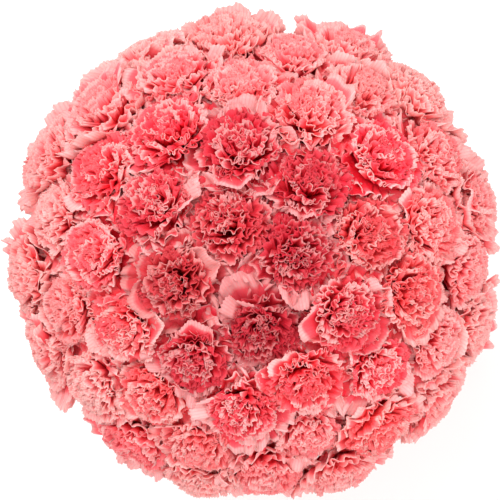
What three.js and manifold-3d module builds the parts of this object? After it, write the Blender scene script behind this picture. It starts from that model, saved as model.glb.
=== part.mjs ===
// A hand-tied bunch of fifty standard carnations, standing on its cut stems.
// Millimetres, +Z up along the bunch. The origin is the middle of the level cut at the foot.
//
// Every carnation is one solid, as it grew: a double flower head, its tubular calyx and a
// stem, with a pair of leaves on the outermost stems. The stems are laid in a spiral, so each
// one passes the binding twine on a slant, bends outwards above it and splays below it.

import * as THREE from "three";
import { mergeVertices } from "three/addons/utils/BufferGeometryUtils.js";
import Module from "manifold-3d";

const radians = THREE.MathUtils.degToRad;

// ---- Driving dimensions ----------------------------------------------------------------
const FLOWERS = 50;
const DOME_CAP_ANGLE = radians(72); // the outermost flower's lean from the vertical
const DOME_CENTRE_ABOVE_TIE = 75;
const TIE_HEIGHT = 165; // the twine's middle above the cut ends

const HEAD_DIAMETER = 64;
const HEAD_HEIGHT = 40; // from the calyx mouth to the top of the petals
const HEAD_SIZE_SPREAD = 0.06; // how much flower heads differ in diameter, as a share
const HEAD_GAP = 0.6; // between the petals of neighbours that press on each other
const HEAD_CROWDING = 0.757; // side of each flower's share of the dome, over its diameter
const HEAD_ROOM = 1.12; // how far apart neighbours settle, over the side of that share
// The head's outline above the calyx mouth: distance out as a share of the diameter, height as
// a share of the head's height.
const HEAD_WIDEST_AT = 0.46;
const HEAD_OUTLINE = [
  [0.44, 0.2],
  [0.5, HEAD_WIDEST_AT],
  [0.38, 0.86],
  [0, 1],
];

const CALYX_LENGTH = 28;
const CALYX_MOUTH_DIAMETER = 13;
const CALYX_BASE_DIAMETER = 8;

const STEM_DIAMETER = 4.6;
const STEM_GAP = 1.1; // between stems where they are tied tightest
const STEM_SPLAY = radians(22); // the outermost stem's slant at the twine
const STEM_BEND = 0.36; // length of the curve handles, as a share of the bent stretch

const TWINE_DIAMETER = 2.4;
const TWINE_GROOVE = 0.6; // depth of the groove between one turn and the next
const TWINE_TURNS = 6;
const TWINE_GAP = 0.4; // between the outermost stems and the twine
const KNOT_SIZE = { wide: 9, deep: 5.5, tall: 7 };

const LEAFED_STEMS = 12; // the outermost ones, where the leaves were left on
const LEAF_LENGTH = 58;
const LEAF_WIDTH = 7;
const LEAF_BASE_WIDTH = 3.2; // where it leaves the stem
const LEAF_WIDEST = 0.35; // where it is widest, as a share of its length
const LEAF_THICKNESS = 0.8;
const LEAF_SPREAD = radians(34); // half the angle between the two leaves of a pair
const LEAF_RISES = [radians(28), radians(12), radians(20)]; // slants above the horizontal, in turn
const LEAF_PLACES = [0.34, 0.2, 0.27]; // shares of the bent stretch of stem, in turn

// ---- Facets ----------------------------------------------------------------------------
const HEAD_SIDES = 10;
const STEM_SIDES = 6;
const BEND_STEPS = 5;
const LEAF_EDGE_STEPS = 3;
const TIE_SIDES = 28;
const KNOT_FACETS = { around: 8, up: 6 };

// ---- Colours ---------------------------------------------------------------------------
const PETAL_COLOUR = new THREE.MeshStandardMaterial({ color: 0xf0777c, roughness: 0.75 });
const TWINE_COLOUR = new THREE.MeshStandardMaterial({ color: 0xb99a6b, roughness: 0.9 });

// ---- Worked out from the dimensions ----------------------------------------------------
const GOLDEN_ANGLE = Math.PI * (3 - Math.sqrt(5));
// Neighbours in a golden-angle spiral of unit spacing stand at least this far apart.
const SPIRAL_SPACING = 1.6;
const SETTLING_ROUNDS = 40;
const TIE_SPACING = (STEM_DIAMETER + STEM_GAP) / SPIRAL_SPACING;
const OUTER_AT_TIE = TIE_SPACING * Math.sqrt(FLOWERS - 0.5);
const SLANT_PER_RADIUS = Math.tan(STEM_SPLAY) / OUTER_AT_TIE;
const DOME_CENTRE = new THREE.Vector3(0, 0, TIE_HEIGHT + DOME_CENTRE_ABOVE_TIE);
// One flower's even share of the dome is a patch with sides of this angle. The dome is as large
// as the flowers packed side by side on it, measured through their widest part.
const SHARE_ANGLE = Math.sqrt((2 * Math.PI * (1 - Math.cos(DOME_CAP_ANGLE))) / FLOWERS);
const WIDEST_TO_TOP = HEAD_HEIGHT * (1 - HEAD_WIDEST_AT);
const DOME_RADIUS = (HEAD_CROWDING * HEAD_DIAMETER) / SHARE_ANGLE + WIDEST_TO_TOP;
const UP = new THREE.Vector3(0, 0, 1);

const wasm = await Module();
wasm.setup();

/** A closed three.js geometry as a manifold-3d solid. */
function solidOf(geometry) {
  const bare = geometry.index ? geometry.toNonIndexed() : geometry.clone();
  bare.deleteAttribute("normal");
  bare.deleteAttribute("uv");
  const merged = mergeVertices(bare, 1e-4);
  return new wasm.Manifold(
    new wasm.Mesh({
      numProp: 3,
      vertProperties: merged.attributes.position.array,
      triVerts: new Uint32Array(merged.index.array),
    }),
  );
}

/** A manifold-3d solid as a three.js geometry. */
function geometryOf(solid) {
  const mesh = solid.getMesh();
  const geometry = new THREE.BufferGeometry();
  geometry.setAttribute("position", new THREE.BufferAttribute(mesh.vertProperties, 3));
  geometry.setIndex(new THREE.BufferAttribute(mesh.triVerts, 1));
  geometry.computeVertexNormals();
  return geometry;
}

/** A large block whose top face passes through `point`, square to `normal`, with all of it behind. */
function halfSpace(point, normal) {
  const side = 4 * DOME_RADIUS + 4 * TIE_HEIGHT;
  const block = new THREE.BoxGeometry(side, side, side);
  block.translate(0, 0, -side / 2);
  block.applyQuaternion(new THREE.Quaternion().setFromUnitVectors(UP, normal));
  block.translate(point.x, point.y, point.z);
  return solidOf(block);
}

/**
 * Where one carnation of the spiral stands. The fortieth, say, is the fortieth from the middle
 * both at the twine and on the dome, so the stems keep their order and never cross.
 */
function place(index) {
  const share = (index + 0.5) / FLOWERS;
  const lean = Math.acos(1 - share * (1 - Math.cos(DOME_CAP_ANGLE)));
  const azimuth = index * GOLDEN_ANGLE;
  const axis = new THREE.Vector3(
    Math.sin(lean) * Math.cos(azimuth),
    Math.sin(lean) * Math.sin(azimuth),
    Math.cos(lean),
  );
  const swing = HEAD_SIZE_SPREAD * Math.sin(index * GOLDEN_ANGLE);
  return { azimuth, axis, diameter: HEAD_DIAMETER * (1 + swing) };
}

/** Lets neighbouring flowers push each other apart over the dome, none past its edge. */
function settle(axes) {
  const room = HEAD_ROOM * SHARE_ANGLE;
  for (let round = 0; round < SETTLING_ROUNDS; round += 1) {
    const before = axes.map((axis) => axis.clone());
    axes.forEach((axis, index) => {
      before.forEach((other, otherIndex) => {
        const apart = before[index].clone().sub(other);
        const lack = room - apart.length();
        if (otherIndex !== index && lack > 0) axis.addScaledVector(apart.normalize(), lack / 4);
      });
      axis.normalize();
      const lean = axis.angleTo(UP);
      const tilt = axis.clone().cross(UP).normalize();
      axis.applyAxisAngle(tilt, Math.max(0, lean - DOME_CAP_ANGLE));
    });
  }
}

const places = Array.from({ length: FLOWERS }, (_, index) => place(index));
settle(places.map(({ axis }) => axis));
const mouthDistance = DOME_RADIUS - HEAD_HEIGHT;
const calyxBaseDistance = mouthDistance - CALYX_LENGTH;

/** A line with one straight step from the foot to the twine, then steps along the bend. */
class StemLine extends THREE.Curve {
  constructor(foot, bend) {
    super();
    this.parts = [new THREE.LineCurve3(foot, bend.v0), bend];
  }

  /** The part of the line that holds a share of its steps, and the share of that part. */
  find(share) {
    const step = share * (BEND_STEPS + 1);
    return step < 1 ? [this.parts[0], step] : [this.parts[1], (step - 1) / BEND_STEPS];
  }

  getPointAt(share) {
    const [part, within] = this.find(share);
    return part.getPoint(within);
  }

  getTangentAt(share) {
    const [part, within] = this.find(share);
    return part.getTangent(within);
  }
}

/** The centreline of one carnation's stem, and the bend that its leaves grow from. */
function stemLine(index) {
  const { azimuth, axis } = places[index];
  const calyxBase = DOME_CENTRE.clone().addScaledVector(axis, calyxBaseDistance);
  const radiusAtTie = TIE_SPACING * Math.sqrt(index + 0.5);
  const radiusAtCalyx = Math.hypot(calyxBase.x, calyxBase.y);
  const azimuthAtTie = azimuth - Math.acos(Math.min(1, radiusAtTie / radiusAtCalyx));
  const tie = new THREE.Vector3(
    radiusAtTie * Math.cos(azimuthAtTie),
    radiusAtTie * Math.sin(azimuthAtTie),
    TIE_HEIGHT,
  );
  const slant = radiusAtTie * SLANT_PER_RADIUS;
  const climb = new THREE.Vector3(
    -slant * Math.sin(azimuthAtTie),
    slant * Math.cos(azimuthAtTie),
    1,
  );
  const foot = tie.clone().addScaledVector(climb, -(TIE_HEIGHT + STEM_DIAMETER));
  const handle = STEM_BEND * tie.distanceTo(calyxBase);
  const insideCalyx = calyxBase.clone().addScaledVector(axis, CALYX_LENGTH / 3);
  const bend = new THREE.CubicBezierCurve3(
    tie,
    tie.clone().addScaledVector(climb.normalize(), handle),
    calyxBase.clone().addScaledVector(axis, -handle),
    insideCalyx,
  );
  return { line: new StemLine(foot, bend), bend };
}

/** A regular polygon whose corners lie on a circle of the given diameter. */
function roundSection(diameter, sides) {
  const section = new THREE.Shape();
  for (let k = 0; k < sides; k += 1) {
    const angle = (k / sides) * 2 * Math.PI;
    const x = (diameter / 2) * Math.cos(angle);
    const y = (diameter / 2) * Math.sin(angle);
    if (k === 0) section.moveTo(x, y);
    else section.lineTo(x, y);
  }
  section.closePath();
  return section;
}

function stemSolid(line) {
  return solidOf(
    new THREE.ExtrudeGeometry(roundSection(STEM_DIAMETER, STEM_SIDES), {
      steps: BEND_STEPS + 1,
      bevelEnabled: false,
      extrudePath: line,
    }),
  );
}

/** Calyx and flower head as one turned body, with the calyx mouth at z = 0. */
function headSolid(diameter) {
  const outline = [
    [0, -CALYX_LENGTH],
    [CALYX_BASE_DIAMETER / 2, -CALYX_LENGTH],
    [CALYX_MOUTH_DIAMETER / 2, 0],
    ...HEAD_OUTLINE.map(([out, up]) => [out * diameter, up * HEAD_HEIGHT]),
  ].map(([out, up]) => new THREE.Vector2(out, up));
  const turned = new THREE.LatheGeometry(outline, HEAD_SIDES);
  return solidOf(turned.rotateX(Math.PI / 2));
}

/** Two narrow leaves from one joint of the stem, spreading away from the bunch. */
function leafPair(index, bend) {
  const rise = LEAF_RISES[index % LEAF_RISES.length];
  const joint = bend.getPointAt(LEAF_PLACES[index % LEAF_PLACES.length]);
  const outwards = Math.atan2(joint.y, joint.x);
  const widest = LEAF_WIDEST * LEAF_LENGTH;
  // A quadratic edge passes about half way between its handle and its ends.
  const handle = LEAF_WIDTH - LEAF_BASE_WIDTH / 4;
  const blade = new THREE.Shape();
  blade.moveTo(0, -LEAF_BASE_WIDTH / 2);
  blade.quadraticCurveTo(widest, -handle, LEAF_LENGTH, 0);
  blade.quadraticCurveTo(widest, handle, 0, LEAF_BASE_WIDTH / 2);
  blade.closePath();
  return [-LEAF_SPREAD, LEAF_SPREAD].map((aside) => {
    const leaf = new THREE.ExtrudeGeometry(blade, {
      depth: LEAF_THICKNESS,
      bevelEnabled: false,
      curveSegments: LEAF_EDGE_STEPS,
    });
    leaf.translate(0, 0, -LEAF_THICKNESS / 2);
    leaf.rotateY(-rise);
    leaf.rotateZ(outwards + aside);
    leaf.translate(joint.x, joint.y, joint.z);
    return solidOf(leaf);
  });
}

/** One carnation, in the frame of its own flower: origin at the calyx mouth, +Z out of it. */
function carnation(index) {
  const { axis, diameter } = places[index];
  const group = new THREE.Group();
  group.position.copy(DOME_CENTRE).addScaledVector(axis, mouthDistance);
  group.quaternion.setFromUnitVectors(UP, axis);
  group.updateMatrixWorld(true);
  const toFlower = group.matrixWorld.clone().invert();
  const inFlower = (solid) => solid.transform(toFlower.elements);

  let head = headSolid(diameter);
  const reach = 2 * Math.asin((HEAD_DIAMETER * (1 + HEAD_SIZE_SPREAD)) / 2 / mouthDistance);
  places.forEach((other, otherIndex) => {
    if (otherIndex === index || other.axis.angleTo(axis) > reach) return;
    const apart = other.axis.clone().sub(axis).normalize();
    const face = DOME_CENTRE.clone().addScaledVector(apart, -HEAD_GAP / 2);
    head = head.subtract(inFlower(halfSpace(face, apart.negate())));
  });

  const { line, bend } = stemLine(index);
  let stem = stemSolid(line);
  if (index >= FLOWERS - LEAFED_STEMS) {
    leafPair(index, bend).forEach((leaf) => {
      stem = stem.add(leaf);
    });
  }
  stem = stem.subtract(halfSpace(new THREE.Vector3(), UP));

  const mesh = new THREE.Mesh(geometryOf(head.add(inFlower(stem))), PETAL_COLOUR);
  mesh.name = `carnation_${String(index + 1).padStart(2, "0")}`;
  group.add(mesh);
  return group;
}

/** The twine wound round the stems, as one ribbed ring with its knot. */
function bindingTwine() {
  const halfHeight = (TWINE_TURNS * TWINE_DIAMETER) / 2;
  const stemEdge =
    Math.hypot(OUTER_AT_TIE, halfHeight * Math.tan(STEM_SPLAY)) +
    STEM_DIAMETER / 2 / Math.cos(STEM_SPLAY);
  const inner = stemEdge + TWINE_GAP;
  const outer = inner + TWINE_DIAMETER;
  const outline = [new THREE.Vector2(inner, -halfHeight)];
  for (let turn = 0; turn < TWINE_TURNS; turn += 1) {
    const foot = -halfHeight + turn * TWINE_DIAMETER;
    outline.push(new THREE.Vector2(outer - TWINE_GROOVE, foot));
    outline.push(new THREE.Vector2(outer, foot + TWINE_DIAMETER / 2));
  }
  outline.push(new THREE.Vector2(outer - TWINE_GROOVE, halfHeight));
  outline.push(new THREE.Vector2(inner, halfHeight));
  outline.push(outline[0].clone());
  const ring = solidOf(new THREE.LatheGeometry(outline, TIE_SIDES).rotateX(Math.PI / 2));
  const knot = new THREE.SphereGeometry(0.5, KNOT_FACETS.around, KNOT_FACETS.up);
  knot.scale(KNOT_SIZE.wide, KNOT_SIZE.deep, KNOT_SIZE.tall);
  knot.translate(0, -outer, 0);
  const mesh = new THREE.Mesh(geometryOf(ring.add(solidOf(knot))), TWINE_COLOUR);
  mesh.name = "binding_twine";
  mesh.position.set(0, 0, TIE_HEIGHT);
  return mesh;
}

const bunch = new THREE.Group();
places.forEach((_, index) => bunch.add(carnation(index)));
bunch.add(bindingTwine());

export default bunch;
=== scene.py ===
"""The looks of a hand-tied bunch of carnations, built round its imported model.

Every carnation gets a corolla of toothed, ruffled petals and a green stalk, which is its calyx,
its jointed stem and, on the outermost flowers, its leaves. The binding is wound and knotted
twine. All lengths are in metres and all angles in radians.
"""

from __future__ import annotations

import logging
import math
from dataclasses import dataclass, field, replace
from enum import Enum
from typing import Any, Callable, Iterable, Sequence

import bpy
import numpy as np
from mathutils import Matrix, Vector
from mathutils.geometry import interpolate_bezier

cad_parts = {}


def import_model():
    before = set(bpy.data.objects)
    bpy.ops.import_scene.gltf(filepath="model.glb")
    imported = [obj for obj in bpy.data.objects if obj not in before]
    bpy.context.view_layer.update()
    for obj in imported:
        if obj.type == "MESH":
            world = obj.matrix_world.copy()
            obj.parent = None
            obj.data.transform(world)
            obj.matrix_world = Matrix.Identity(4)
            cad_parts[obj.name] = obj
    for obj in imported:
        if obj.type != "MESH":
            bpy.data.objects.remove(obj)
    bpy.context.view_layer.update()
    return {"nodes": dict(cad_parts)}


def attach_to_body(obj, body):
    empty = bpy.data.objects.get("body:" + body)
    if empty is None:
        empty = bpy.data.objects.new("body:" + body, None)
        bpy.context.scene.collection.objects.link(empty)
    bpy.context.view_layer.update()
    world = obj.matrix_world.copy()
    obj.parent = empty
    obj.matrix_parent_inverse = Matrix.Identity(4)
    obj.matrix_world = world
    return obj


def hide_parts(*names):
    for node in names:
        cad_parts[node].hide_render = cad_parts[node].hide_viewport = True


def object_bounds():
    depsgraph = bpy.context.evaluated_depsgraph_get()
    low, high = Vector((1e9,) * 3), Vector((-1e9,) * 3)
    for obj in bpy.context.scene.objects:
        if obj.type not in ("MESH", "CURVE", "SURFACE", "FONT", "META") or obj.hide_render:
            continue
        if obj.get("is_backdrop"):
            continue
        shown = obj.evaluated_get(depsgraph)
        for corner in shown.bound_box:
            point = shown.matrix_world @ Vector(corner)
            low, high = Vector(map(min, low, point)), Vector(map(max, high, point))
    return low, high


log = logging.getLogger("carnations")

MM = 0.001
GOLDEN_ANGLE = math.pi * (3 - math.sqrt(5))
FULL_TURN = 2 * math.pi
UP = Vector((0, 0, 1))
Colour = tuple[float, float, float]
Piece = bpy.types.Object
Material = bpy.types.Material
Random = np.random.Generator


# ---- Shader maths ----


class Signal:
    """A number that varies over a surface: an output socket that Python operators work on."""

    def __init__(self, shader: "Shader", socket: Any) -> None:
        """Wrap one output socket of a shader's tree."""
        self.shader = shader
        self.socket = socket

    def _math(self, operation: str, *terms: Any) -> "Signal":
        """Add one Math node over the terms, in order."""
        return self.shader.node("ShaderNodeMath", {"operation": operation}, dict(enumerate(terms)))

    def __add__(self, other: Any) -> "Signal":
        """Sum."""
        return self._math("ADD", self, other)

    __radd__ = __add__

    def __sub__(self, other: Any) -> "Signal":
        """Difference."""
        return self._math("SUBTRACT", self, other)

    def __rsub__(self, other: Any) -> "Signal":
        """Difference with this signal taken away."""
        return self._math("SUBTRACT", other, self)

    def __mul__(self, other: Any) -> "Signal":
        """Product."""
        return self._math("MULTIPLY", self, other)

    __rmul__ = __mul__

    def __pow__(self, other: Any) -> "Signal":
        """Power."""
        return self._math("POWER", self, other)

    def output(self, number: int) -> "Signal":
        """Another output of the node that this signal comes from."""
        return Signal(self.shader, self.socket.node.outputs[number])

    def sine(self) -> "Signal":
        """Sine of the signal."""
        return self._math("SINE", self)

    def clamped(self) -> "Signal":
        """The signal held between 0 and 1."""
        return self.shader.node("ShaderNodeClamp", {}, {"Value": self})


class Shader:
    """The node tree of one material."""

    def __init__(self, name: str) -> None:
        """Start a material with an empty tree.

        Args:
            name: The material's name.
        """
        self.material = bpy.data.materials.new(name)
        self.material.use_nodes = True
        self.tree = self.material.node_tree
        self.tree.nodes.clear()

    def node(self, kind: str, settings: dict[str, Any], inputs: dict[Any, Any],
             output: str | int = 0) -> Signal:
        """Add any node.

        Args:
            kind: The node's type.
            settings: Properties that are set first; "stops" fills a colour ramp.
            inputs: Values or signals by socket name or number.
            output: The output socket that is returned.

        Returns:
            The chosen output as a signal.
        """
        made = self.tree.nodes.new(kind)
        for name, value in settings.items():
            if name == "stops":
                self._fill_ramp(made.color_ramp, value)
            else:
                setattr(made, name, value)
        for key, value in inputs.items():
            socket = made.inputs[key]
            if isinstance(value, Signal):
                self.tree.links.new(value.socket, socket)
            elif socket.type == "RGBA":
                socket.default_value = (*value, 1.0)
            else:
                socket.default_value = value
        return Signal(self, made.outputs[output] if made.outputs else None)

    @staticmethod
    def _fill_ramp(ramp: Any, stops: Sequence[tuple[float, Colour]]) -> None:
        """Give a colour ramp its stops.

        Args:
            ramp: The colour ramp.
            stops: The place and colour of each, from low to high.
        """
        while len(ramp.elements) < len(stops):
            ramp.elements.new(1.0)
        for element, (at, colour) in zip(ramp.elements, stops):
            element.position = at
            element.color = (*colour, 1.0)

    def attribute(self, name: str) -> Signal:
        """A number stored on the mesh."""
        return self.node("ShaderNodeAttribute", {"attribute_name": name}, {}, "Fac")

    def noise(self, vector: Signal, scale: float, detail: float = 3.0) -> Signal:
        """Smooth noise round 0.5."""
        return self.node(
            "ShaderNodeTexNoise", {}, {"Vector": vector, "Scale": scale, "Detail": detail}
        )

    def mix(self, share: Any, first: Any, second: Any) -> Signal:
        """Mix two colours by a share."""
        return self.node("ShaderNodeMix", {"data_type": "RGBA"}, {0: share, 6: first, 7: second}, 2)

    def place(self) -> Signal:
        """The place of each point on the piece."""
        return self.node("ShaderNodeTexCoord", {}, {}, "Object")

    def bump(self, strength: float, height: Signal) -> Signal:
        """The fine relief of a surface, up to a third of a millimetre deep."""
        return self.node(
            "ShaderNodeBump", {}, {"Strength": strength, "Distance": 0.3 * MM, "Height": height}
        )

    def finish(self, inputs: dict[str, Any]) -> Material:
        """Connect the surface, by its shader's inputs, and hand over the material."""
        surface = self.node("ShaderNodeBsdfPrincipled", {}, inputs)
        self.node("ShaderNodeOutputMaterial", {}, {"Surface": surface})
        return self.material


# ---- Finishes ----


@dataclass(frozen=True)
class PetalFinish:
    """Thin coral petals, finely veined: deep red towards the claw, partly their own colour and
    partly painted shade deep in the flower, and paler to the toothed edge.

    The colours from claw to edge sit at the stops, shifted by soft clouds and by each petal's
    tone. Flowers in the middle of the dome are darkened towards crimson as painted shade, flowers
    towards the rim are evened to coral with paled edges as painted light, and warm ones lean to
    peach.
    """

    # The deep red at the claw is partly the petals' own colour and partly painted shade deep in the
    # flower.
    claw: Colour = (0.86, 0.007, 0.020)
    deep: Colour = (0.90, 0.011, 0.036)
    coral: Colour = (0.93, 0.041, 0.075)
    blush: Colour = (0.95, 0.130, 0.162)
    edge: Colour = (0.98, 0.48, 0.475)
    # Painted shade: the crimson that the flowers in the middle of the dome are darkened towards.
    painted_shade_crimson: Colour = (0.36, 0.002, 0.014)
    # Painted light: the pale that the edges of flowers towards the rim are lifted towards.
    pale: Colour = (0.98, 0.61, 0.57)
    peach: Colour = (0.97, 0.37, 0.27)
    stops: tuple[float, ...] = (0.0, 0.45, 0.76, 0.93, 1.0)
    cloud: float = 90.0
    cloud_shift: float = 0.14
    tone_shift: float = 0.28
    warmth: float = 0.22
    cloud_warmth: float = 0.3
    # The next five numbers set the painted light on flowers towards the rim and the painted shade
    # on flowers in the middle of the dome.
    evenness: float = 0.6
    pale_reach: float = 5.0
    depth: float = 0.8
    painted_shade_share: float = 1.15
    spared: float = 0.35
    veins: float = 150.0
    wobble: float = 5.0
    streak: float = 0.24
    relief: float = 0.22
    roughness: float = 0.66
    spotty: float = 0.2

    def material(self) -> Material:
        """Build the petals' material.

        Returns:
            The material, which reads the petals' UV map and their tone attributes.
        """
        shader = Shader("petal_coral")
        uv = shader.node("ShaderNodeUVMap", {"uv_map": "petal"}, {})
        across = shader.node("ShaderNodeSeparateXYZ", {}, {"Vector": uv})
        along = across.output(1)
        cloud = shader.noise(shader.place(), self.cloud)
        petal_tone = shader.attribute("petal_tone")
        # Each flower's tone holds painted light towards the rim of the dome and painted shade in
        # its middle.
        flower_tone_and_painted_light = shader.attribute("flower_tone_and_painted_light")
        reach = along + (cloud - 0.5) * self.cloud_shift + (petal_tone - 0.5) * self.tone_shift
        # The ramp runs from a deep red at the claw, partly own colour and partly painted shade, to
        # the pale toothed edge.
        colours = (self.claw, self.deep, self.coral, self.blush, self.edge)
        ramp = shader.node(
            "ShaderNodeValToRGB", {"stops": tuple(zip(self.stops, colours))}, {"Fac": reach}
        )
        warmth = shader.attribute("flower_warmth") * self.warmth
        warmth = warmth + (cloud - 0.5) * self.cloud_warmth
        warm = shader.mix((warmth * along).clamped(), ramp, self.peach)
        # Painted light: flowers towards the rim are evened towards coral and their edges paled.
        paleness_and_painted_light = flower_tone_and_painted_light.clamped()
        even = shader.mix(paleness_and_painted_light * self.evenness, warm, self.coral)
        pale_tint_and_painted_light = shader.mix(paleness_and_painted_light * along ** self.pale_reach, even, self.pale)
        # Painted shade: flowers in the middle of the dome darken towards crimson, inner petals most
        # and guard petals least.
        painted_shade_share = (self.painted_shade_share - petal_tone * self.spared) * (0.0 - flower_tone_and_painted_light) * self.depth
        shade = shader.mix(painted_shade_share.clamped(), pale_tint_and_painted_light, self.painted_shade_crimson)
        fan = (across - 0.5) * self.veins
        vein = ((fan + cloud * self.wobble).sine() * 0.5 + 0.5) ** 3.0
        return shader.finish({
            "Base Color": shader.mix(vein * self.streak * along, shade, self.coral),
            "Roughness": cloud * self.spotty + (self.roughness - self.spotty / 2),
            "Specular IOR Level": 0.1,
            "Subsurface Weight": 0.2,
            "Subsurface Radius": (1.0, 0.28, 0.22),
            "Subsurface Scale": 1.5 * MM,
            "Normal": shader.bump(self.relief, vein * along),
        })


@dataclass(frozen=True)
class StalkFinish:
    """Smooth greens with a pale, waxy grey-green bloom that wears off in patches."""

    stem: Colour = (0.13, 0.25, 0.075)
    calyx: Colour = (0.20, 0.34, 0.09)
    leaf: Colour = (0.12, 0.22, 0.11)
    bloom: Colour = (0.42, 0.55, 0.43)
    cut: Colour = (0.55, 0.62, 0.36)
    cover: float = 0.62
    patches: float = 140.0
    fibres: float = 900.0
    grain: float = 0.08
    roughness: float = 0.42

    def material(self) -> Material:
        """Build the stalks' material.

        Returns:
            The material, which reads what each part of the stalk is from an attribute.
        """
        shader = Shader("stalk_green")
        place = shader.place()
        part = shader.attribute("stalk_part")
        greens = shader.node(
            "ShaderNodeValToRGB",
            {"stops": ((0.0, self.stem), (0.30, self.stem), (0.36, self.calyx),
                       (0.62, self.calyx), (0.70, self.leaf), (0.92, self.leaf),
                       (1.0, self.cut))},
            {"Fac": part},
        )
        cloud = shader.noise(place, self.patches, 5.0)
        stretched = shader.node(
            "ShaderNodeMapping", {}, {"Vector": place, "Scale": (1.0, 1.0, self.grain)}
        )
        fibre = shader.noise(stretched, self.fibres, 2.0)
        bloom = (cloud * 1.5 - 0.42 + (fibre - 0.5) * 0.4).clamped()
        return shader.finish({
            "Base Color": shader.mix(bloom * self.cover, greens, self.bloom),
            "Roughness": bloom * 0.3 + self.roughness,
            "Specular IOR Level": 0.4,
            "Subsurface Weight": 0.08,
            "Subsurface Radius": (0.4, 1.0, 0.2),
            "Subsurface Scale": 1.0 * MM,
            "Normal": shader.bump(0.2, fibre),
        })


@dataclass(frozen=True)
class TwineFinish:
    """Natural jute: straw and brown fibres twisted together."""

    straw: Colour = (0.52, 0.37, 0.18)
    brown: Colour = (0.25, 0.15, 0.06)
    fibres: float = 1400.0
    patches: float = 160.0
    roughness: float = 0.82

    def material(self) -> Material:
        """Build the twine's material.

        Returns:
            The material.
        """
        shader = Shader("twine_jute")
        place = shader.place()
        fibre = shader.noise(place, self.fibres, 6.0)
        cloud = shader.noise(place, self.patches)
        worn = (fibre * 1.4 + cloud * 0.6 - 0.5).clamped()
        return shader.finish({
            "Base Color": shader.mix(worn, self.brown, self.straw),
            "Roughness": fibre * 0.1 + self.roughness,
            "Sheen Weight": 0.3,
            "Normal": shader.bump(0.7, fibre),
        })


@dataclass(frozen=True)
class FloorFinish:
    """The plain pale floor of the studio."""

    colour: Colour = (0.96, 0.96, 0.96)
    roughness: float = 0.9

    def material(self) -> Material:
        """Build the floor's material."""
        return Shader("studio_floor").finish({
            "Base Color": self.colour, "Roughness": self.roughness, "Specular IOR Level": 0.1,
        })


# ---- The bench: modelling by operators ----


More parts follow.
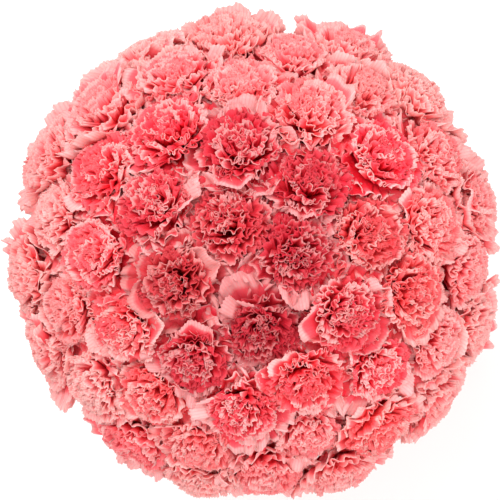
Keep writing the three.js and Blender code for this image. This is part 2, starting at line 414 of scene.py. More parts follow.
class Bench:
    """Small modelling jobs that are done with Blender's operators."""

    @staticmethod
    def clear_selection() -> None:
        """Deselect every object."""
        bpy.ops.object.select_all(action="DESELECT")

    @staticmethod
    def choose(piece: Piece, others: Iterable[Piece] = ()) -> None:
        """Select a piece as the active one.

        Args:
            piece: The piece.
            others: Pieces that are selected with it.
        """
        Bench.clear_selection()
        for other in others:
            other.select_set(True)
        piece.select_set(True)
        bpy.context.view_layer.objects.active = piece

    @staticmethod
    def edit(piece: Piece) -> None:
        """Open a piece in edit mode with all of it selected."""
        Bench.choose(piece)
        bpy.ops.object.mode_set(mode="EDIT")
        bpy.ops.mesh.select_all(action="SELECT")

    @staticmethod
    def places(piece: Piece) -> np.ndarray:
        """The vertex places of a piece, one row each."""
        flat = np.empty(len(piece.data.vertices) * 3, np.float32)
        piece.data.vertices.foreach_get("co", flat)
        return flat.reshape(-1, 3).astype(float)

    @staticmethod
    def move(piece: Piece, places: np.ndarray) -> None:
        """Put the vertices of a piece at new places."""
        piece.data.vertices.foreach_set("co", places.astype(np.float32).ravel())
        piece.data.update()

    @staticmethod
    def sheet(name: str, across: int, along: int) -> Piece:
        """A flat grid, one unit each way, to be shaped into a petal or a leaf.

        Args:
            name: The name of the new piece.
            across: Faces across the blade.
            along: Faces from its base to its tip.

        Returns:
            The grid, whose X runs across and Y along, from -0.5 to 0.5.
        """
        Bench.clear_selection()
        bpy.ops.mesh.primitive_grid_add(x_subdivisions=across, y_subdivisions=along, size=1.0)
        piece = bpy.context.active_object
        piece.name = name
        return piece

    @staticmethod
    def thicken(piece: Piece, thickness: float) -> None:
        """Give a sheet a wall.

        Args:
            piece: The sheet.
            thickness: The whole wall, half of it on each side.
        """
        Bench.choose(piece)
        wall = piece.modifiers.new("wall", "SOLIDIFY")
        wall.thickness = thickness
        wall.offset = 0.0
        wall.use_rim = True
        bpy.ops.object.modifier_apply(modifier=wall.name)

    @staticmethod
    def join(pieces: Sequence[Piece], name: str) -> Piece:
        """Join pieces into one.

        Args:
            pieces: The pieces, of which the first takes in the others.
            name: The name of the whole.

        Returns:
            The whole piece.
        """
        Bench.choose(pieces[0], pieces[1:])
        if len(pieces) > 1:
            bpy.ops.object.join()
        pieces[0].name = name
        return pieces[0]

    @staticmethod
    def copy(piece: Piece, name: str) -> Piece:
        """Copy a piece with a mesh of its own.

        Args:
            piece: The piece.
            name: The name of the copy.

        Returns:
            The copy.
        """
        twin = piece.copy()
        twin.data = piece.data.copy()
        twin.name = name
        twin.data.name = name
        bpy.context.collection.objects.link(twin)
        return twin

    @staticmethod
    def mark(piece: Piece, attribute: str, values: np.ndarray | float) -> None:
        """Store a number on every vertex of a piece.

        Args:
            piece: The piece.
            attribute: What the number is called.
            values: One number for all of the piece, or one for each vertex.
        """
        count = len(piece.data.vertices)
        stored = piece.data.attributes.get(attribute)
        if stored is None:
            stored = piece.data.attributes.new(attribute, "FLOAT", "POINT")
        stored.data.foreach_set("value", np.broadcast_to(values, count).astype(np.float32))

    @staticmethod
    def tube(name: str, points: Sequence[Vector], radii: Sequence[float], sides: int = 2,
             closed: bool = False) -> Piece:
        """A tube along a line, made from a bevelled curve.

        Args:
            name: The name of the new piece.
            points: The places the tube's middle passes.
            radii: The tube's radius at each of them.
            sides: The bevel's resolution; the tube has four plus twice this many sides.
            closed: Whether the end joins the start.

        Returns:
            The tube as a mesh.
        """
        Bench.clear_selection()
        bpy.ops.curve.primitive_bezier_curve_add()
        curve = bpy.context.active_object
        curve.name = name
        curve.data.splines.clear()
        line = curve.data.splines.new("POLY")
        line.points.add(len(points) - 1)
        for spot, point, radius in zip(line.points, points, radii):
            spot.co = (*point, 1.0)
            spot.radius = radius
        line.use_cyclic_u = closed
        curve.data.dimensions = "3D"
        curve.data.bevel_depth = 1.0
        curve.data.bevel_resolution = sides
        curve.data.use_fill_caps = not closed
        bpy.ops.object.convert(target="MESH")
        return bpy.context.active_object

    @staticmethod
    def smooth(piece: Piece, sharp: float = math.radians(55)) -> None:
        """Shade a piece smooth, apart from the edges that turn by more than the sharp angle."""
        Bench.choose(piece)
        bpy.ops.object.shade_smooth_by_angle(angle=sharp)

    @staticmethod
    def dress(piece: Piece, material: Material) -> None:
        """Give a piece one material."""
        piece.data.materials.clear()
        piece.data.materials.append(material)


# ---- The dome ----


@dataclass
class Dome:
    """Where each flower of the bunch sits."""

    flowers: int = 50
    cap_angle: float = math.radians(72)
    tie_height: float = 165 * MM
    centre_above_tie: float = 75 * MM
    head_height: float = 40 * MM
    head_diameter: float = 64 * MM
    calyx_length: float = 28 * MM
    axes: list[Vector] = field(default_factory=list)
    radius: float = 0.0

    @property
    def centre(self) -> Vector:
        """The point that all the flowers face away from."""
        return Vector((0, 0, self.tie_height + self.centre_above_tie))

    @staticmethod
    def node(index: int) -> str:
        """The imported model's name for a carnation."""
        return f"carnation_{index + 1:02d}"

    def read(self, nodes: dict[str, Piece]) -> None:
        """Find every flower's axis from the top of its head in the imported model.

        Args:
            nodes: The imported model's nodes by name.
        """
        centre = np.array(self.centre)
        for index in range(self.flowers):
            from_centre = Bench.places(nodes[self.node(index)]) - centre
            above_tie = from_centre[:, 2] > -self.centre_above_tie
            distance = np.linalg.norm(from_centre, axis=1) * above_tie
            top = int(distance.argmax())
            self.axes.append(Vector(from_centre[top] / distance[top]))
            self.radius = max(self.radius, float(distance[top]))

    def mouth(self, index: int) -> Vector:
        """The middle of a flower's calyx mouth."""
        return self.centre + self.axes[index] * (self.radius - self.head_height)

    def turn(self, index: int, first: Matrix) -> np.ndarray:
        """The turn that leans an upright flower to its place, after a first turn of its own."""
        return np.array(UP.rotation_difference(self.axes[index]).to_matrix() @ first)

    def neighbours(self, index: int) -> list[Vector]:
        """The flowers that are close enough to press on one of them.

        Args:
            index: The flower that they press on.

        Returns:
            The direction away from each of them.
        """
        own = self.axes[index]
        near = 1.5 * self.head_diameter / (self.radius - self.head_height / 2)
        return [
            (own - other).normalized()
            for number, other in enumerate(self.axes)
            if number != index and own.angle(other) < near
        ]


# ---- Corollas ----


class Ring(Enum):
    """The rings of petals in a double flower, from the guard petals in to the core."""

    GUARD = "guard"
    COLLAR = "collar"
    FAN = "fan"
    OUTER = "outer"
    MIDDLE = "middle"
    INNER = "inner"
    CORE = "core"
    EYE = "eye"


@dataclass(frozen=True)
class PetalPlan:
    """The shape of one ring's petals.

    Attributes:
        count: Petals in the ring.
        reach: From the flower's axis to the petal's edge.
        rise: From the calyx mouth up to the edge.
        lean: How far the edge leans from the axis.
        wander: How much the lean differs from petal to petal.
        margin: Length of the edge, laid out flat.
        swing: How strongly the edge snakes: 0 is straight, 1.9 is folded into loops.
        waves: Waves along the edge.
        fan: Half the angle that the blade fans out over.
        twist: Most the blade is turned about its own length.
        tone: How pale the petals are, from 0 to 1.
        across: Faces across the blade.
        tooth: Depth of the teeth.
        along: Faces along the blade.
        stand: How far the boldest petals stand up above the others.
    """

    count: int
    reach: float
    rise: float
    lean: float
    wander: float
    margin: float
    swing: float
    waves: float
    fan: float
    twist: float
    tone: float
    across: int
    tooth: float
    along: int = 3
    stand: float = 2 * MM


PETAL_PLANS: dict[Ring, PetalPlan] = {
    Ring.GUARD: PetalPlan(
        count=9, reach=46 * MM, rise=14 * MM, lean=math.radians(96), wander=0.22, stand=9 * MM,
        margin=74 * MM, swing=1.15, waves=3.7, fan=0.85, twist=0.2, tone=0.95,
        across=34, along=5, tooth=0.75 * MM,
    ),
    Ring.COLLAR: PetalPlan(
        count=7, reach=30 * MM, rise=26 * MM, lean=math.radians(54), wander=0.2, stand=5 * MM,
        margin=56 * MM, swing=1.35, waves=3.9, fan=0.7, twist=0.3, tone=0.6,
        across=38, along=4, tooth=0.75 * MM,
    ),
    Ring.FAN: PetalPlan(
        count=1, reach=39 * MM, rise=28 * MM, lean=math.radians(72), wander=0.3, stand=5 * MM,
        margin=66 * MM, swing=0.95, waves=3.1, fan=0.95, twist=0.3, tone=1.2,
        across=38, along=6, tooth=0.9 * MM,
    ),
    Ring.OUTER: PetalPlan(
        count=10, reach=24 * MM, rise=31 * MM, lean=math.radians(36), wander=0.14,
        margin=50 * MM, swing=1.5, waves=4.2, fan=0.5, twist=0.5, tone=0.42,
        across=34, along=4, tooth=0.55 * MM,
    ),
    Ring.MIDDLE: PetalPlan(
        count=9, reach=17.5 * MM, rise=34 * MM, lean=math.radians(24), wander=0.12,
        margin=46 * MM, swing=1.6, waves=4.0, fan=0.42, twist=0.7, tone=0.34,
        across=34, tooth=0.5 * MM,
    ),
    Ring.INNER: PetalPlan(
        count=8, reach=11 * MM, rise=36 * MM, lean=math.radians(15), wander=0.1,
        margin=40 * MM, swing=1.65, waves=3.5, fan=0.36, twist=0.9, tone=0.28,
        across=30, tooth=0.45 * MM,
    ),
    Ring.CORE: PetalPlan(
        count=6, reach=5 * MM, rise=37 * MM, lean=math.radians(7), wander=0.08,
        margin=34 * MM, swing=1.7, waves=3.1, fan=0.3, twist=1.0, tone=0.22,
        across=28, tooth=0.4 * MM,
    ),
    Ring.EYE: PetalPlan(
        count=3, reach=1.5 * MM, rise=36.5 * MM, lean=math.radians(2), wander=0.06,
        margin=30 * MM, swing=1.6, waves=2.7, fan=0.3, twist=0.8, tone=0.2,
        across=26, tooth=0.4 * MM,
    ),
}


@dataclass
class Corolla:
    """The double flower head: rings of ruffled, toothed petals out of one calyx."""

    seed: int
    cupped: float = 0.0
    fans: int = 1
    cup_lean: float = math.radians(26)
    cup_rise: float = 9 * MM
    plans: dict[Ring, PetalPlan] = field(default_factory=lambda: dict(PETAL_PLANS))
    claw_depth: float = 8 * MM
    claw_width: float = 3 * MM
    claw_places: tuple[float, float] = (0.6 * MM, 2.6 * MM)
    claw_end: float = 0.18
    reaches: tuple[float, float] = (0.9, 1.08)
    rises: tuple[float, float] = (-1.8 * MM, 1.2 * MM)
    claw_pull: float = 0.5
    edge_pull: float = 0.36
    arc: float = 1.1
    wave_counts: tuple[float, float] = (0.85, 1.2)
    ruffle_start: float = 0.25
    swell: float = 0.35
    ripple: float = 0.32
    ripple_rate: float = 2.1
    wrap_slack: float = 7 * MM
    stand_up: float = 0.05 / MM
    stand_in: float = 0.35
    droop: float = 0.75
    tooth_start: float = 0.8
    twist_start: float = 0.2
    tone_spread: float = 0.45
    azimuth_spread: float = 0.15
    petal_wall: float = 0.26 * MM
    fine: int = 240

    @staticmethod
    def _from(start: float, trail: np.ndarray) -> np.ndarray:
        """Progress along a petal, from 0 up to a start to 1 at the edge."""
        return np.clip((trail - start) / (1 - start), 0, 1)

    def _snake(self, plan: PetalPlan, rows: np.ndarray, random: Random
               ) -> tuple[np.ndarray, np.ndarray, np.ndarray]:
        """The folded cross-lines of one petal.

        Args:
            plan: The petal's shape.
            rows: Places along the petal, from 0 at the claw to 1 at the edge.
            random: Source of variation.

        Returns:
            The fine steps across from -1 to 1, and for each row and step the distance across
            and the distance out of the blade.
        """
        steps = np.linspace(-1, 1, self.fine)
        phase, second = random.uniform(0, FULL_TURN, 2)
        waves = plan.waves * random.uniform(*self.wave_counts)
        swell = 1 + self.swell * np.sin(math.pi * random.uniform(0.6, 1.4) * steps + second)
        swing = swell * np.sin(math.pi * waves * steps + phase)
        swing += self.ripple * np.sin(math.pi * waves * self.ripple_rate * steps + second)
        ruffle = self._from(self.ruffle_start, rows) ** 1.25
        width = self._from(self.claw_end, rows) ** 0.9
        width = self.claw_width + (plan.margin - self.claw_width) * width
        turn = plan.swing * ruffle[:, None] * swing[None]
        step = width[:, None] / (self.fine - 1)
        across = np.cumsum(np.cos(turn) * step, axis=1)
        out = np.cumsum(np.sin(turn) * step, axis=1)
        across -= across.mean(1, keepdims=True)
        out -= out.mean(1, keepdims=True)
        return steps, across, out

    def _arch(self, plan: PetalPlan, trail: np.ndarray, random: Random
              ) -> tuple[np.ndarray, np.ndarray, np.ndarray, float]:
        """The arch of a petal's middle line, from the claw up and over to the edge.

        Args:
            plan: The petal's shape.
            trail: Places along the petal, from 0 to 1.
            random: Source of variation.

        Returns:
            The distance from the axis, the height and the lean at each place, and the length.
        """
        stand = plan.stand * random.uniform(0, 1) ** 2
        start = np.array([random.uniform(*self.claw_places), -self.claw_depth])
        tip = np.array([plan.reach * random.uniform(*self.reaches) - self.stand_in * stand,
                        plan.rise + random.uniform(*self.rises) + stand])
        lean = plan.lean + random.normal(0, plan.wander) - self.stand_up * stand
        span = float(np.linalg.norm(tip - start))
        first = start + np.array([0.0, self.claw_pull * span])
        last = tip - self.edge_pull * span * np.array([math.sin(lean), math.cos(lean)])
        back = 1 - trail
        shares = np.stack([back ** 3, 3 * back ** 2 * trail, 3 * back * trail ** 2, trail ** 3])
        out, up = np.stack([start, first, last, tip], 1) @ shares
        shares = np.stack([back ** 2, 2 * back * trail, trail ** 2])
        slope = np.stack([first - start, last - first, tip - last], 1) @ shares
        return out, up, np.arctan2(*slope), span * self.arc

    @staticmethod
    def _teeth(plan: PetalPlan, random: Random) -> np.ndarray:
        """The teeth of a petal.

        Args:
            plan: The petal's shape.
            random: Source of variation.

        Returns:
            How far the edge reaches past its mean line at each column.
        """
        columns = np.arange(plan.across + 1)
        depth = random.uniform(0.3, 1.0, len(columns))
        notches = random.normal(0, 0.55, plan.across // 3 + 2)
        notch = np.interp(columns / 3, np.arange(len(notches)), notches)
        return (np.where(columns % 2 == 0, depth, -depth) + notch) * plan.tooth

    def _petal(self, plan: PetalPlan, azimuth: float, random: Random) -> Piece:
        """Model one petal in place.

        Args:
            plan: The petal's shape.
            azimuth: The side of the flower that it grows on.
            random: Source of variation.

        Returns:
            The petal, a sheet with no wall yet.
        """
        petal = Bench.sheet("petal", plan.across, plan.along)
        flat = Bench.places(petal)
        side = flat[:, 0] * 2
        trail = 1 - (0.5 - flat[:, 1]).clip(0) ** 1.25
        rows, row = np.unique(np.round(trail, 5), return_inverse=True)
        steps, across_of, out_of = self._snake(plan, rows, random)
        across = np.empty_like(side)
        out = np.empty_like(side)
        for number in range(len(rows)):
            mine = row == number
            across[mine] = np.interp(side[mine], steps, across_of[number])
            out[mine] = np.interp(side[mine], steps, out_of[number])

        radial, height, lean, length = self._arch(plan, trail, random)
        column = np.round((side + 1) / 2 * plan.across).astype(int)
        droop = 1 - np.cos(plan.fan * across / np.abs(across).max())
        droop = droop * length * self.droop * trail
        shift = self._teeth(plan, random)[column] * self._from(self.tooth_start, trail) ** 2
        shift = shift - droop
        twist = random.uniform(-plan.twist, plan.twist) * self._from(self.twist_start, trail)
        turned = across * np.cos(twist) - out * np.sin(twist)
        out = across * np.sin(twist) + out * np.cos(twist)

        around = turned / (radial + self.wrap_slack) + azimuth
        from_middle = radial + self.wrap_slack + out * np.cos(lean) + shift * np.sin(lean)
        height = height - out * np.sin(lean) + shift * np.cos(lean)
        places = np.stack([
            from_middle * np.cos(around) - self.wrap_slack * math.cos(azimuth),
            from_middle * np.sin(around) - self.wrap_slack * math.sin(azimuth),
            height,
        ], 1)
        Bench.move(petal, places)
        Bench.mark(petal, "petal_tone", plan.tone + random.uniform(-1, 1) * self.tone_spread)
        return petal

    def model(self, name: str) -> Piece:
        """Model the whole corolla, with the calyx mouth at the origin and the axis up.

        Args:
            name: The name of the new piece.

        Returns:
            The corolla.
        """
        random = np.random.default_rng(self.seed)
        petals = []
        for ring, plan in self.plans.items():
            if ring is Ring.FAN:
                plan = replace(plan, count=self.fans)
            if ring is Ring.GUARD:
                plan = replace(plan, lean=plan.lean - self.cupped * self.cup_lean,
                               rise=plan.rise + self.cupped * self.cup_rise)
            first = random.uniform(0, FULL_TURN)
            for place in range(plan.count):
                azimuth = first + FULL_TURN * place / plan.count
                azimuth += random.normal(0, self.azimuth_spread)
                petals.append(self._petal(plan, azimuth, random))
            log.debug("the %s ring of %s has %d petals", ring.value, name, plan.count)
        corolla = Bench.join(petals, name)
        corolla.data.uv_layers[0].name = "petal"
        Bench.thicken(corolla, self.petal_wall)
        Bench.smooth(corolla, math.pi)
        return corolla


@dataclass
class Corollas:
    """All the flower heads of the bunch, pressed together on the dome."""

    dome: Dome
    open_flowers: int = 6
    cupped_flowers: int = 3
    rim: float = 0.84
    rim_size: float = 1.07
    size_spread: float = 0.07
    rise_spread: float = 3.5 * MM
    tilt_spread: float = 0.11
    crossing: float = 12 * MM
    lifted: float = 0.35
    first_model: int = 11
    seed: int = 5
    tone_spread: float = 0.15
    # Painted light and shade by each flower's lean from the top: deep in the middle of the dome,
    # pale towards its rim.
    tone_leans: tuple[float, ...] = (0.0, 0.25, 0.5, 1.0)
    painted_light_tones: tuple[float, ...] = (-1.2, -0.5, 0.0, 0.64)
    finish: PetalFinish = field(default_factory=PetalFinish)

    def _press(self, places: np.ndarray, index: int) -> np.ndarray:
        """Push petals back from the flowers that press on them, and up where they meet.

        Args:
            places: Vertex places in the bunch.
            index: The flower they belong to.

        Returns:
            The new places.
        """
        centre = np.array(self.dome.centre)
        axis = np.array(self.dome.axes[index])
        for apart in self.dome.neighbours(index):
            away = np.array(apart)
            beyond = np.minimum((places - centre) @ away, 0.0)
            held = -self.crossing * (1 - np.exp(beyond / self.crossing))
            pushed = held - beyond
            places = places + pushed[:, None] * (away + self.lifted * axis)
        return places

    def _tone_with_painted_light(self, index: int, random: Random) -> float:
        """How pale or deep a flower is painted: paler towards the rim as painted light, deeper in
        the middle as painted shade, with a random spread of its own.

        Args:
            index: The flower.
            random: Source of variation.

        Returns:
            Its tone, above 0 where it is painted pale and below 0 where it is painted deep.
        """
        lean = self.dome.axes[index].angle(UP) / self.dome.cap_angle
        return float(np.interp(lean, self.tone_leans, self.painted_light_tones)
                     + random.normal(0, self.tone_spread))

    def build(self) -> list[Piece]:
        """Model the variants, then set a copy of one on every calyx.

        Returns:
            The corollas, in the order of the carnations.
        """
        material = self.finish.material()
        models = [
            Corolla(self.first_model + number, float(number >= self.open_flowers), number % 3)
            .model(f"flower_{number}")
            for number in range(self.open_flowers + self.cupped_flowers)
        ]
        random = np.random.default_rng(self.seed)
        pieces = []
        for index in range(self.dome.flowers):
            axis = self.dome.axes[index]
            at_rim = axis.angle(UP) > self.rim * self.dome.cap_angle
            first, last = (self.open_flowers, len(models)) if at_rim else (0, self.open_flowers)
            piece = Bench.copy(models[int(random.integers(first, last))],
                               f"corolla_{index + 1:02d}")
            spin = Matrix.Rotation(random.uniform(0, FULL_TURN), 3, "Z")
            tilt = Matrix.Rotation(random.normal(0, self.tilt_spread), 3, "X")
            turn = self.dome.turn(index, tilt @ spin)
            size = 1 + self.size_spread * math.sin(index * GOLDEN_ANGLE)
            size *= self.rim_size if at_rim else 1.0
            rise = random.uniform(-1, 1) * self.rise_spread
            mouth = np.array(self.dome.mouth(index) + axis * rise)
            places = Bench.places(piece) * size @ turn.T + mouth
            Bench.move(piece, self._press(places, index))
            # The flower's tone: paler towards the rim as painted light, deeper in the middle as
            # painted shade, with a random spread of its own.
            Bench.mark(piece, "flower_tone_and_painted_light", self._tone_with_painted_light(index, random))
            Bench.mark(piece, "flower_warmth", random.uniform(0, 1) ** 2)
            Bench.dress(piece, material)
            pieces.append(piece)
        for model in models:
            bpy.data.objects.remove(model)
        return pieces


# ---- Stalks ----


class StalkPart(Enum):
    """What a part of a stalk is, as the number that its material reads."""

    STEM = 0.15
    CALYX = 0.5
    LEAF = 0.8
    CUT = 1.0


@dataclass
class Stalks:
    """The green part of every carnation: calyx, jointed stem and leaves.

    The calyx's foot and outline are in millimetres: each step's radius and its rise.
    """

    dome: Dome
    stem_diameter: float = 4.6 * MM
    stem_gap: float = 1.1 * MM
    splay: float = math.radians(22)
    stem_bend: float = 0.36
    spiral_spacing: float = 1.6
    joint_spacing: float = 58 * MM
    joint_spread: float = 9 * MM
    joint_swelling: float = 1.42
    slimness: float = 0.97
    calyx_sides: int = 20
    calyx_foot: float = 2.2
    calyx_outline: tuple[tuple[float, float], ...] = (
        (3.7, 0.8), (4.5, 3.2), (5.3, 6.0), (6.0, 8.0), (6.4, 7.0), (6.6, 3.5), (6.9, 2.0),
        (7.6, 3.0),
    )
    calyx_wall: float = 0.45 * MM
    calyx_teeth: int = 5
    tooth_depth: float = 5.2 * MM
    tooth_rise: float = 4.2 * MM
    ridges: int = 10
    ridge_height: float = 0.03
    bract_wall: float = 0.5 * MM
    leafed: int = 12
    leaf_length: float = 58 * MM
    leaf_width: float = 7 * MM
    leaf_spread: float = math.radians(34)
    leaf_rises: tuple[float, ...] = (math.radians(28), math.radians(12), math.radians(20))
    leaf_places: tuple[float, ...] = (0.34, 0.2, 0.27)
    leaf_wall: float = 0.55 * MM
    leaf_channel: float = 0.32
    leaf_lift: float = 0.35
    seed: int = 23
    finish: StalkFinish = field(default_factory=StalkFinish)

    def line(self, index: int) -> tuple[list[Vector], list[Vector]]:
        """The middle line of a stem.

        Args:
            index: The carnation's number.

        Returns:
            The points from below the foot up to the twine, and those of the bend above it.
        """
        dome = self.dome
        spacing = (self.stem_diameter + self.stem_gap) / self.spiral_spacing
        outer = spacing * math.sqrt(dome.flowers - 0.5)
        axis = dome.axes[index]
        base = dome.mouth(index) - axis * dome.calyx_length
        radius = spacing * math.sqrt(index + 0.5)
        swing = math.acos(min(1.0, radius / math.hypot(base.x, base.y)))
        azimuth = index * GOLDEN_ANGLE - swing
        tie = Vector((radius * math.cos(azimuth), radius * math.sin(azimuth), dome.tie_height))
        slant = radius * math.tan(self.splay) / outer
        climb = Vector((-slant * math.sin(azimuth), slant * math.cos(azimuth), 1.0))
        foot = tie - climb * (dome.tie_height + self.stem_diameter)
        handle = self.stem_bend * (tie - base).length
        bend = interpolate_bezier(
            tie, tie + climb.normalized() * handle, base - axis * handle,
            base + axis * dome.calyx_length / 3, 22,
        )
        straight = [foot.lerp(tie, share / 14) for share in range(14)]
        return straight, list(bend)

    def _stem(self, points: list[Vector], random: Random) -> Piece:
        """A jointed stem, cut level with the surface that the bunch stands on.

        Args:
            points: Its middle line, from the foot up.
            random: Source of variation.

        Returns:
            The stem.
        """
        far = np.concatenate([[0], np.cumsum([(b - a).length for a, b in zip(points, points[1:])])])
        joints = np.arange(far[-1] - 34 * MM, 30 * MM, -self.joint_spacing)
        joints = joints + random.uniform(-1, 1, len(joints)) * self.joint_spread
        extra = np.concatenate([joints + away * MM for away in (-4, -1.6, 0, 1.2, 2.4)])
        at = np.sort(np.concatenate([far, extra]))
        line = np.array([list(point) for point in points])
        spots = np.stack([np.interp(at, far, line[:, axis]) for axis in range(3)], 1)
        nearest = at[:, None] - joints[None]
        swell = np.exp(-np.where(nearest > 0, nearest / (1.3 * MM), nearest / (2.4 * MM)) ** 2)
        radii = self.stem_diameter / 2 * (1 + (self.joint_swelling - 1) * swell.max(1))
        stem = Bench.tube("stem", [Vector(spot) for spot in spots], list(radii * self.slimness))
        Bench.edit(stem)
        bpy.ops.mesh.bisect(plane_co=(0, 0, 0), plane_no=(0, 0, 1), use_fill=True,
                            clear_inner=True)
        bpy.ops.object.mode_set(mode="OBJECT")
        places = Bench.places(stem)
        part = np.where(places[:, 2] < 1e-6, StalkPart.CUT.value, StalkPart.STEM.value)
        Bench.mark(stem, "stalk_part", part)
        return stem

    def _calyx(self) -> Piece:
        """One calyx with five teeth at its mouth and four bracts at its base, axis up.

        Returns:
            The calyx, with its mouth at the origin.
        """
        Bench.clear_selection()
        bpy.ops.mesh.primitive_circle_add(
            vertices=self.calyx_sides, radius=self.calyx_foot * MM, fill_type="NGON",
            location=(0, 0, -self.dome.calyx_length - 0.5 * MM),
        )
        calyx = bpy.context.active_object
        calyx.name = "calyx"
        bpy.ops.object.transform_apply(location=True)
        Bench.edit(calyx)
        radius = self.calyx_foot
        for wide, rise in self.calyx_outline:
            bpy.ops.mesh.extrude_region_move(
                TRANSFORM_OT_translate={"value": (0, 0, rise * MM)}
            )
            share = wide / radius
            bpy.ops.transform.resize(value=(share, share, 1.0), center_override=(0, 0, 0))
            radius = wide
        bpy.ops.mesh.delete(type="ONLY_FACE")
        bpy.ops.object.mode_set(mode="OBJECT")
        places = Bench.places(calyx)
        angle = np.arctan2(places[:, 1], places[:, 0])
        rim = places[:, 2].max()
        teeth = np.abs(np.mod(angle * self.calyx_teeth / FULL_TURN, 1) - 0.5) * 2
        top = np.clip((places[:, 2] - (rim - self.tooth_depth)) / self.tooth_depth, 0, 1)
        places[:, 2] += top * (teeth - 0.6) * self.tooth_rise
        places[:, :2] *= (1 + self.ridge_height * np.cos(angle * self.ridges))[:, None]
        Bench.move(calyx, places)
        Bench.thicken(calyx, self.calyx_wall)
        bracts = [self._bract(side) for side in range(4)]
        calyx = Bench.join([calyx, *bracts], "calyx")
        Bench.mark(calyx, "stalk_part", StalkPart.CALYX.value)
        Bench.smooth(calyx)
        return calyx

    def _bract(self, side: int) -> Piece:
        """One short, pointed scale that hugs the calyx's base.

        Args:
            side: Which of the four sides it grows on; every other one is shorter.

        Returns:
            The scale.
        """
        scale = Bench.sheet("bract", 6, 5)
        flat = Bench.places(scale)
        along = flat[:, 1] + 0.5
        width = 0.62 * np.sqrt(np.clip(1 - along ** 2.2, 0.002, 1))
        angle = flat[:, 0] * 2 * width * 1.25 + side * math.pi / 2
        height = 10.5 * MM - 1.5 * MM * (side % 2)
        radius = np.interp(along, [0, 0.15, 0.6, 1], [2.6, 4.3, 5.6, 6.3]) * MM
        base = -self.dome.calyx_length - 1.2 * MM
        places = np.stack(
            [radius * np.cos(angle), radius * np.sin(angle), base + along * height], 1
        )
        Bench.move(scale, places)
        Bench.thicken(scale, self.bract_wall)
        return scale

    def _leaf(self, joint: Vector, heading: float, rise: float, length: float, droop: float
              ) -> Piece:
        """One narrow, channelled leaf that arches out from a joint.

        Args:
            joint: Where it grows.
            heading: The level direction it points in.
            rise: Its slant above the level at the joint.
            length: Its length.
            droop: How much it bends over towards its tip.

        Returns:
            The leaf.
        """
        leaf = Bench.sheet("leaf", 4, 14)
        flat = Bench.places(leaf)
        along = flat[:, 1] + 0.5
        wide = self.leaf_width * length / self.leaf_length
        half = np.interp(along, [0, 0.06, 0.35, 0.7, 0.92, 1],
                         [0.42, 0.34, 0.5, 0.36, 0.12, 0.015]) * wide
        side = flat[:, 0] * 2
        trail = np.linspace(0, 1, 40)
        slope = rise - droop * trail ** 1.4
        step = length / (len(trail) - 1)
        out, up = (
            np.interp(along, trail, np.concatenate([[0], np.cumsum(part(slope[1:]))]) * step)
            for part in (np.cos, np.sin)
        )
        up = up + self.leaf_channel * half * side ** 2
        places = np.stack([out, side * half, up], 1)
        turn = np.array(Matrix.Rotation(heading, 3, "Z"))
        Bench.move(leaf, places @ turn.T + np.array(joint))
        Bench.thicken(leaf, self.leaf_wall)
        Bench.mark(leaf, "stalk_part", StalkPart.LEAF.value)
        return leaf

    def build(self) -> list[Piece]:
        """Model every stalk.

        Returns:
            The stalks, in the order of the carnations.
        """
        material = self.finish.material()
        calyx_model = self._calyx()
        calyx_places = Bench.places(calyx_model)
        random = np.random.default_rng(self.seed)
        pieces = []
        for index in range(self.dome.flowers):
            straight, bend = self.line(index)
            parts = [self._stem([*straight, *bend], random)]
            calyx = Bench.copy(calyx_model, "calyx")
            spin = Matrix.Rotation(random.uniform(0, FULL_TURN), 3, "Z")
            turn = self.dome.turn(index, spin)
            Bench.move(calyx, calyx_places @ turn.T + np.array(self.dome.mouth(index)))
            parts.append(calyx)
            if index >= self.dome.flowers - self.leafed:
                share = self.leaf_places[index % len(self.leaf_places)]
                joint = bend[round(share * (len(bend) - 1))]
                rise = self.leaf_rises[index % len(self.leaf_rises)]
                heading = math.atan2(joint.y, joint.x)
                for aside in (-self.leaf_spread, self.leaf_spread):
                    length = self.leaf_length * random.uniform(0.85, 1.1)
                    parts.append(self._leaf(joint, heading + aside, rise + self.leaf_lift,
                                            length, random.uniform(0.5, 1.1)))
            piece = Bench.join(parts, f"stalk_{index + 1:02d}")
            Bench.smooth(piece)
            Bench.dress(piece, material)
            pieces.append(piece)
        bpy.data.objects.remove(calyx_model)
        return pieces


# ---- Binding ----


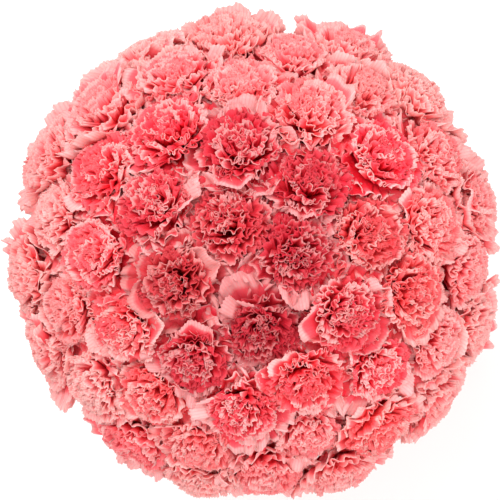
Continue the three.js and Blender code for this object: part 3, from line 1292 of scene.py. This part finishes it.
@dataclass
class Binding:
    """Two-strand twine wound round the stems, and its knot."""

    tie_height: float = 165 * MM
    inner_radius: float = 28.2 * MM
    diameter: float = 2.4 * MM
    turns: int = 6
    steps: int = 44
    strand_pitch: float = 5.5 * MM
    strand_offset: float = 0.23
    strand_radius: float = 0.29
    turn_pitch: float = 1.02
    knot_out: float = 1.9
    finish: TwineFinish = field(default_factory=TwineFinish)

    def _winding(self, share: float) -> Vector:
        """The winding's middle line.

        Args:
            share: How far along it, from 0 at its foot to 1 at its top.

        Returns:
            The place there.
        """
        radius = self.inner_radius + self.diameter / 2
        angle = share * self.turns * FULL_TURN - math.pi / 2
        height = (share - 0.5) * (self.turns - 1) * self.diameter * self.turn_pitch
        return Vector((radius * math.cos(angle), radius * math.sin(angle),
                       self.tie_height + height))

    def _knot(self, share: float) -> Vector:
        """The knot's line, a small trefoil outside the winding.

        Args:
            share: How far round it, from 0 to 1.

        Returns:
            The place there.
        """
        turn = share * FULL_TURN
        wide = (math.sin(turn) + 2 * math.sin(2 * turn)) * 1.55 * MM
        tall = (math.cos(turn) - 2 * math.cos(2 * turn)) * 1.35 * MM
        deep = -math.sin(3 * turn) * 1.15 * MM
        out = self.inner_radius + self.diameter * self.knot_out
        return Vector((wide, -out + deep, self.tie_height + tall))

    def _strands(self, line: Callable[[float], Vector], steps: int, closed: bool) -> list[Piece]:
        """Two strands twisted about a line.

        Args:
            line: The place on the line for each share of its way, from 0 to 1.
            steps: How many steps it is walked in.
            closed: Whether its end joins its start.

        Returns:
            The two strands.
        """
        points = [line(step / steps) for step in range(steps if closed else steps + 1)]
        length = sum((b - a).length for a, b in zip(points, points[1:]))
        twists = round(length / self.strand_pitch)
        strands = []
        for strand in range(2):
            places = []
            for step, point in enumerate(points):
                ahead = points[(step + 1) % len(points)] - points[step - 1 if step else 0]
                if not closed and step == len(points) - 1:
                    ahead = point - points[step - 1]
                side = ahead.cross(UP)
                if side.length < 1e-9:
                    side = Vector((1, 0, 0))
                side.normalize()
                other = ahead.cross(side).normalized()
                angle = FULL_TURN * twists * step / steps + strand * math.pi
                offset = side * math.cos(angle) + other * math.sin(angle)
                places.append(point + offset * self.diameter * self.strand_offset)
            radii = [self.diameter * self.strand_radius] * len(places)
            strands.append(Bench.tube("strand", places, radii, sides=1, closed=closed))
        return strands

    def build(self) -> Piece:
        """Model the wound and knotted twine.

        Returns:
            The binding.
        """
        parts = self._strands(self._winding, self.turns * self.steps * 2, closed=False)
        parts += self._strands(self._knot, 90, closed=True)
        for side in (-1, 1):
            def tail(share: float, side: int = side) -> Vector:
                """A short end of the twine, hanging from the knot."""
                out = self.inner_radius + self.diameter * (self.knot_out + 0.5 * share)
                return Vector((side * (1.5 + 7 * share) * MM, -out,
                               self.tie_height - (2 + 15 * share ** 1.3) * MM))
            parts += self._strands(tail, 26, closed=False)
        piece = Bench.join(parts, "twine_binding")
        Bench.smooth(piece)
        Bench.dress(piece, self.finish.material())
        return piece


# ---- Studio ----


@dataclass
class Studio:
    """The plain floor, the soft lights and the camera straight above the bunch."""

    camera_height: float = 2.6
    filled: float = 1.012
    widest_height: float = 0.30
    sensor: float = 36.0
    floor_size: float = 6.0
    sky_colour: Colour = (1.0, 0.99, 0.985)
    sky_strength: float = 0.95
    floor_finish: FloorFinish = field(default_factory=FloorFinish)

    def _light(self, name: str, place: Sequence[float], target: Sequence[float], size: float,
               power: float) -> None:
        """Hang one square soft light.

        Args:
            name: Its name.
            place: Where it hangs.
            target: What it points at.
            size: Its side.
            power: Its power in watts.
        """
        Bench.clear_selection()
        bpy.ops.object.light_add(type="AREA", location=place)
        light = bpy.context.active_object
        light.name = name
        light.data.shape = "SQUARE"
        light.data.size = size
        light.data.energy = power
        way = Vector(target) - Vector(place)
        light.rotation_euler = way.to_track_quat("-Z", "Y").to_euler()

    def build(self, low: Vector, high: Vector) -> None:
        """Set up the floor, the lights, the sky and the camera.

        Args:
            low: The lowest corner of the bunch's box.
            high: Its highest corner.
        """
        Bench.clear_selection()
        bpy.ops.mesh.primitive_plane_add(size=self.floor_size)
        floor = bpy.context.active_object
        floor.name = "studio_floor"
        Bench.dress(floor, self.floor_finish.material())
        floor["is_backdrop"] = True

        self._light("key_light", (-0.6, 1.0, 2.4), (0, 0, 0.32), size=1.3, power=35.0)
        self._light("fill_light", (1.3, -1.1, 2.0), (0, 0, 0.3), size=2.2, power=23.0)

        world = bpy.data.worlds.new("studio")
        world.use_nodes = True
        sky = world.node_tree.nodes["Background"].inputs
        sky["Color"].default_value = (*self.sky_colour, 1.0)
        sky["Strength"].default_value = self.sky_strength
        bpy.context.scene.world = world

        middle = (low + high) / 2
        bpy.ops.object.camera_add(location=(middle.x, middle.y, self.camera_height),
                                  rotation=(0, 0, 0))
        camera = bpy.context.active_object
        camera.name = "camera_above"
        distance = self.camera_height - self.widest_height
        width = max(high.x - low.x, high.y - low.y)
        camera.data.sensor_width = self.sensor
        camera.data.lens = self.sensor * distance * self.filled / width
        bpy.context.scene.camera = camera
        bpy.context.scene.view_settings.view_transform = "Standard"
        log.info("studio: camera %.2f m up, lens %.0f mm", self.camera_height, camera.data.lens)


# ---- The bunch ----


def attach(pieces: Sequence[Piece], stands_for: Sequence[str]) -> None:
    """Ride each piece on the bunch, say what it stands for and report it.

    Args:
        pieces: The new pieces.
        stands_for: For each piece, the node it replaces.
    """
    for piece, node in zip(pieces, stands_for):
        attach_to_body(piece, "root")
        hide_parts(node)
        log.info("%s stands for %s: %d faces", piece.name, node, len(piece.data.polygons))


def main() -> None:
    """Build the bunch in order."""
    logging.basicConfig(level=logging.INFO, format="%(name)s %(message)s")
    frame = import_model()
    Bench.clear_selection()

    dome = Dome()
    dome.read(frame["nodes"])
    carnations = [dome.node(index) for index in range(dome.flowers)]

    attach(Stalks(dome).build(), carnations)
    attach([Binding().build()], ["binding_twine"])
    attach(Corollas(dome).build(), carnations)

    low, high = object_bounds()
    Studio().build(Vector(low), Vector(high))


if __name__ == "__main__":
    main()
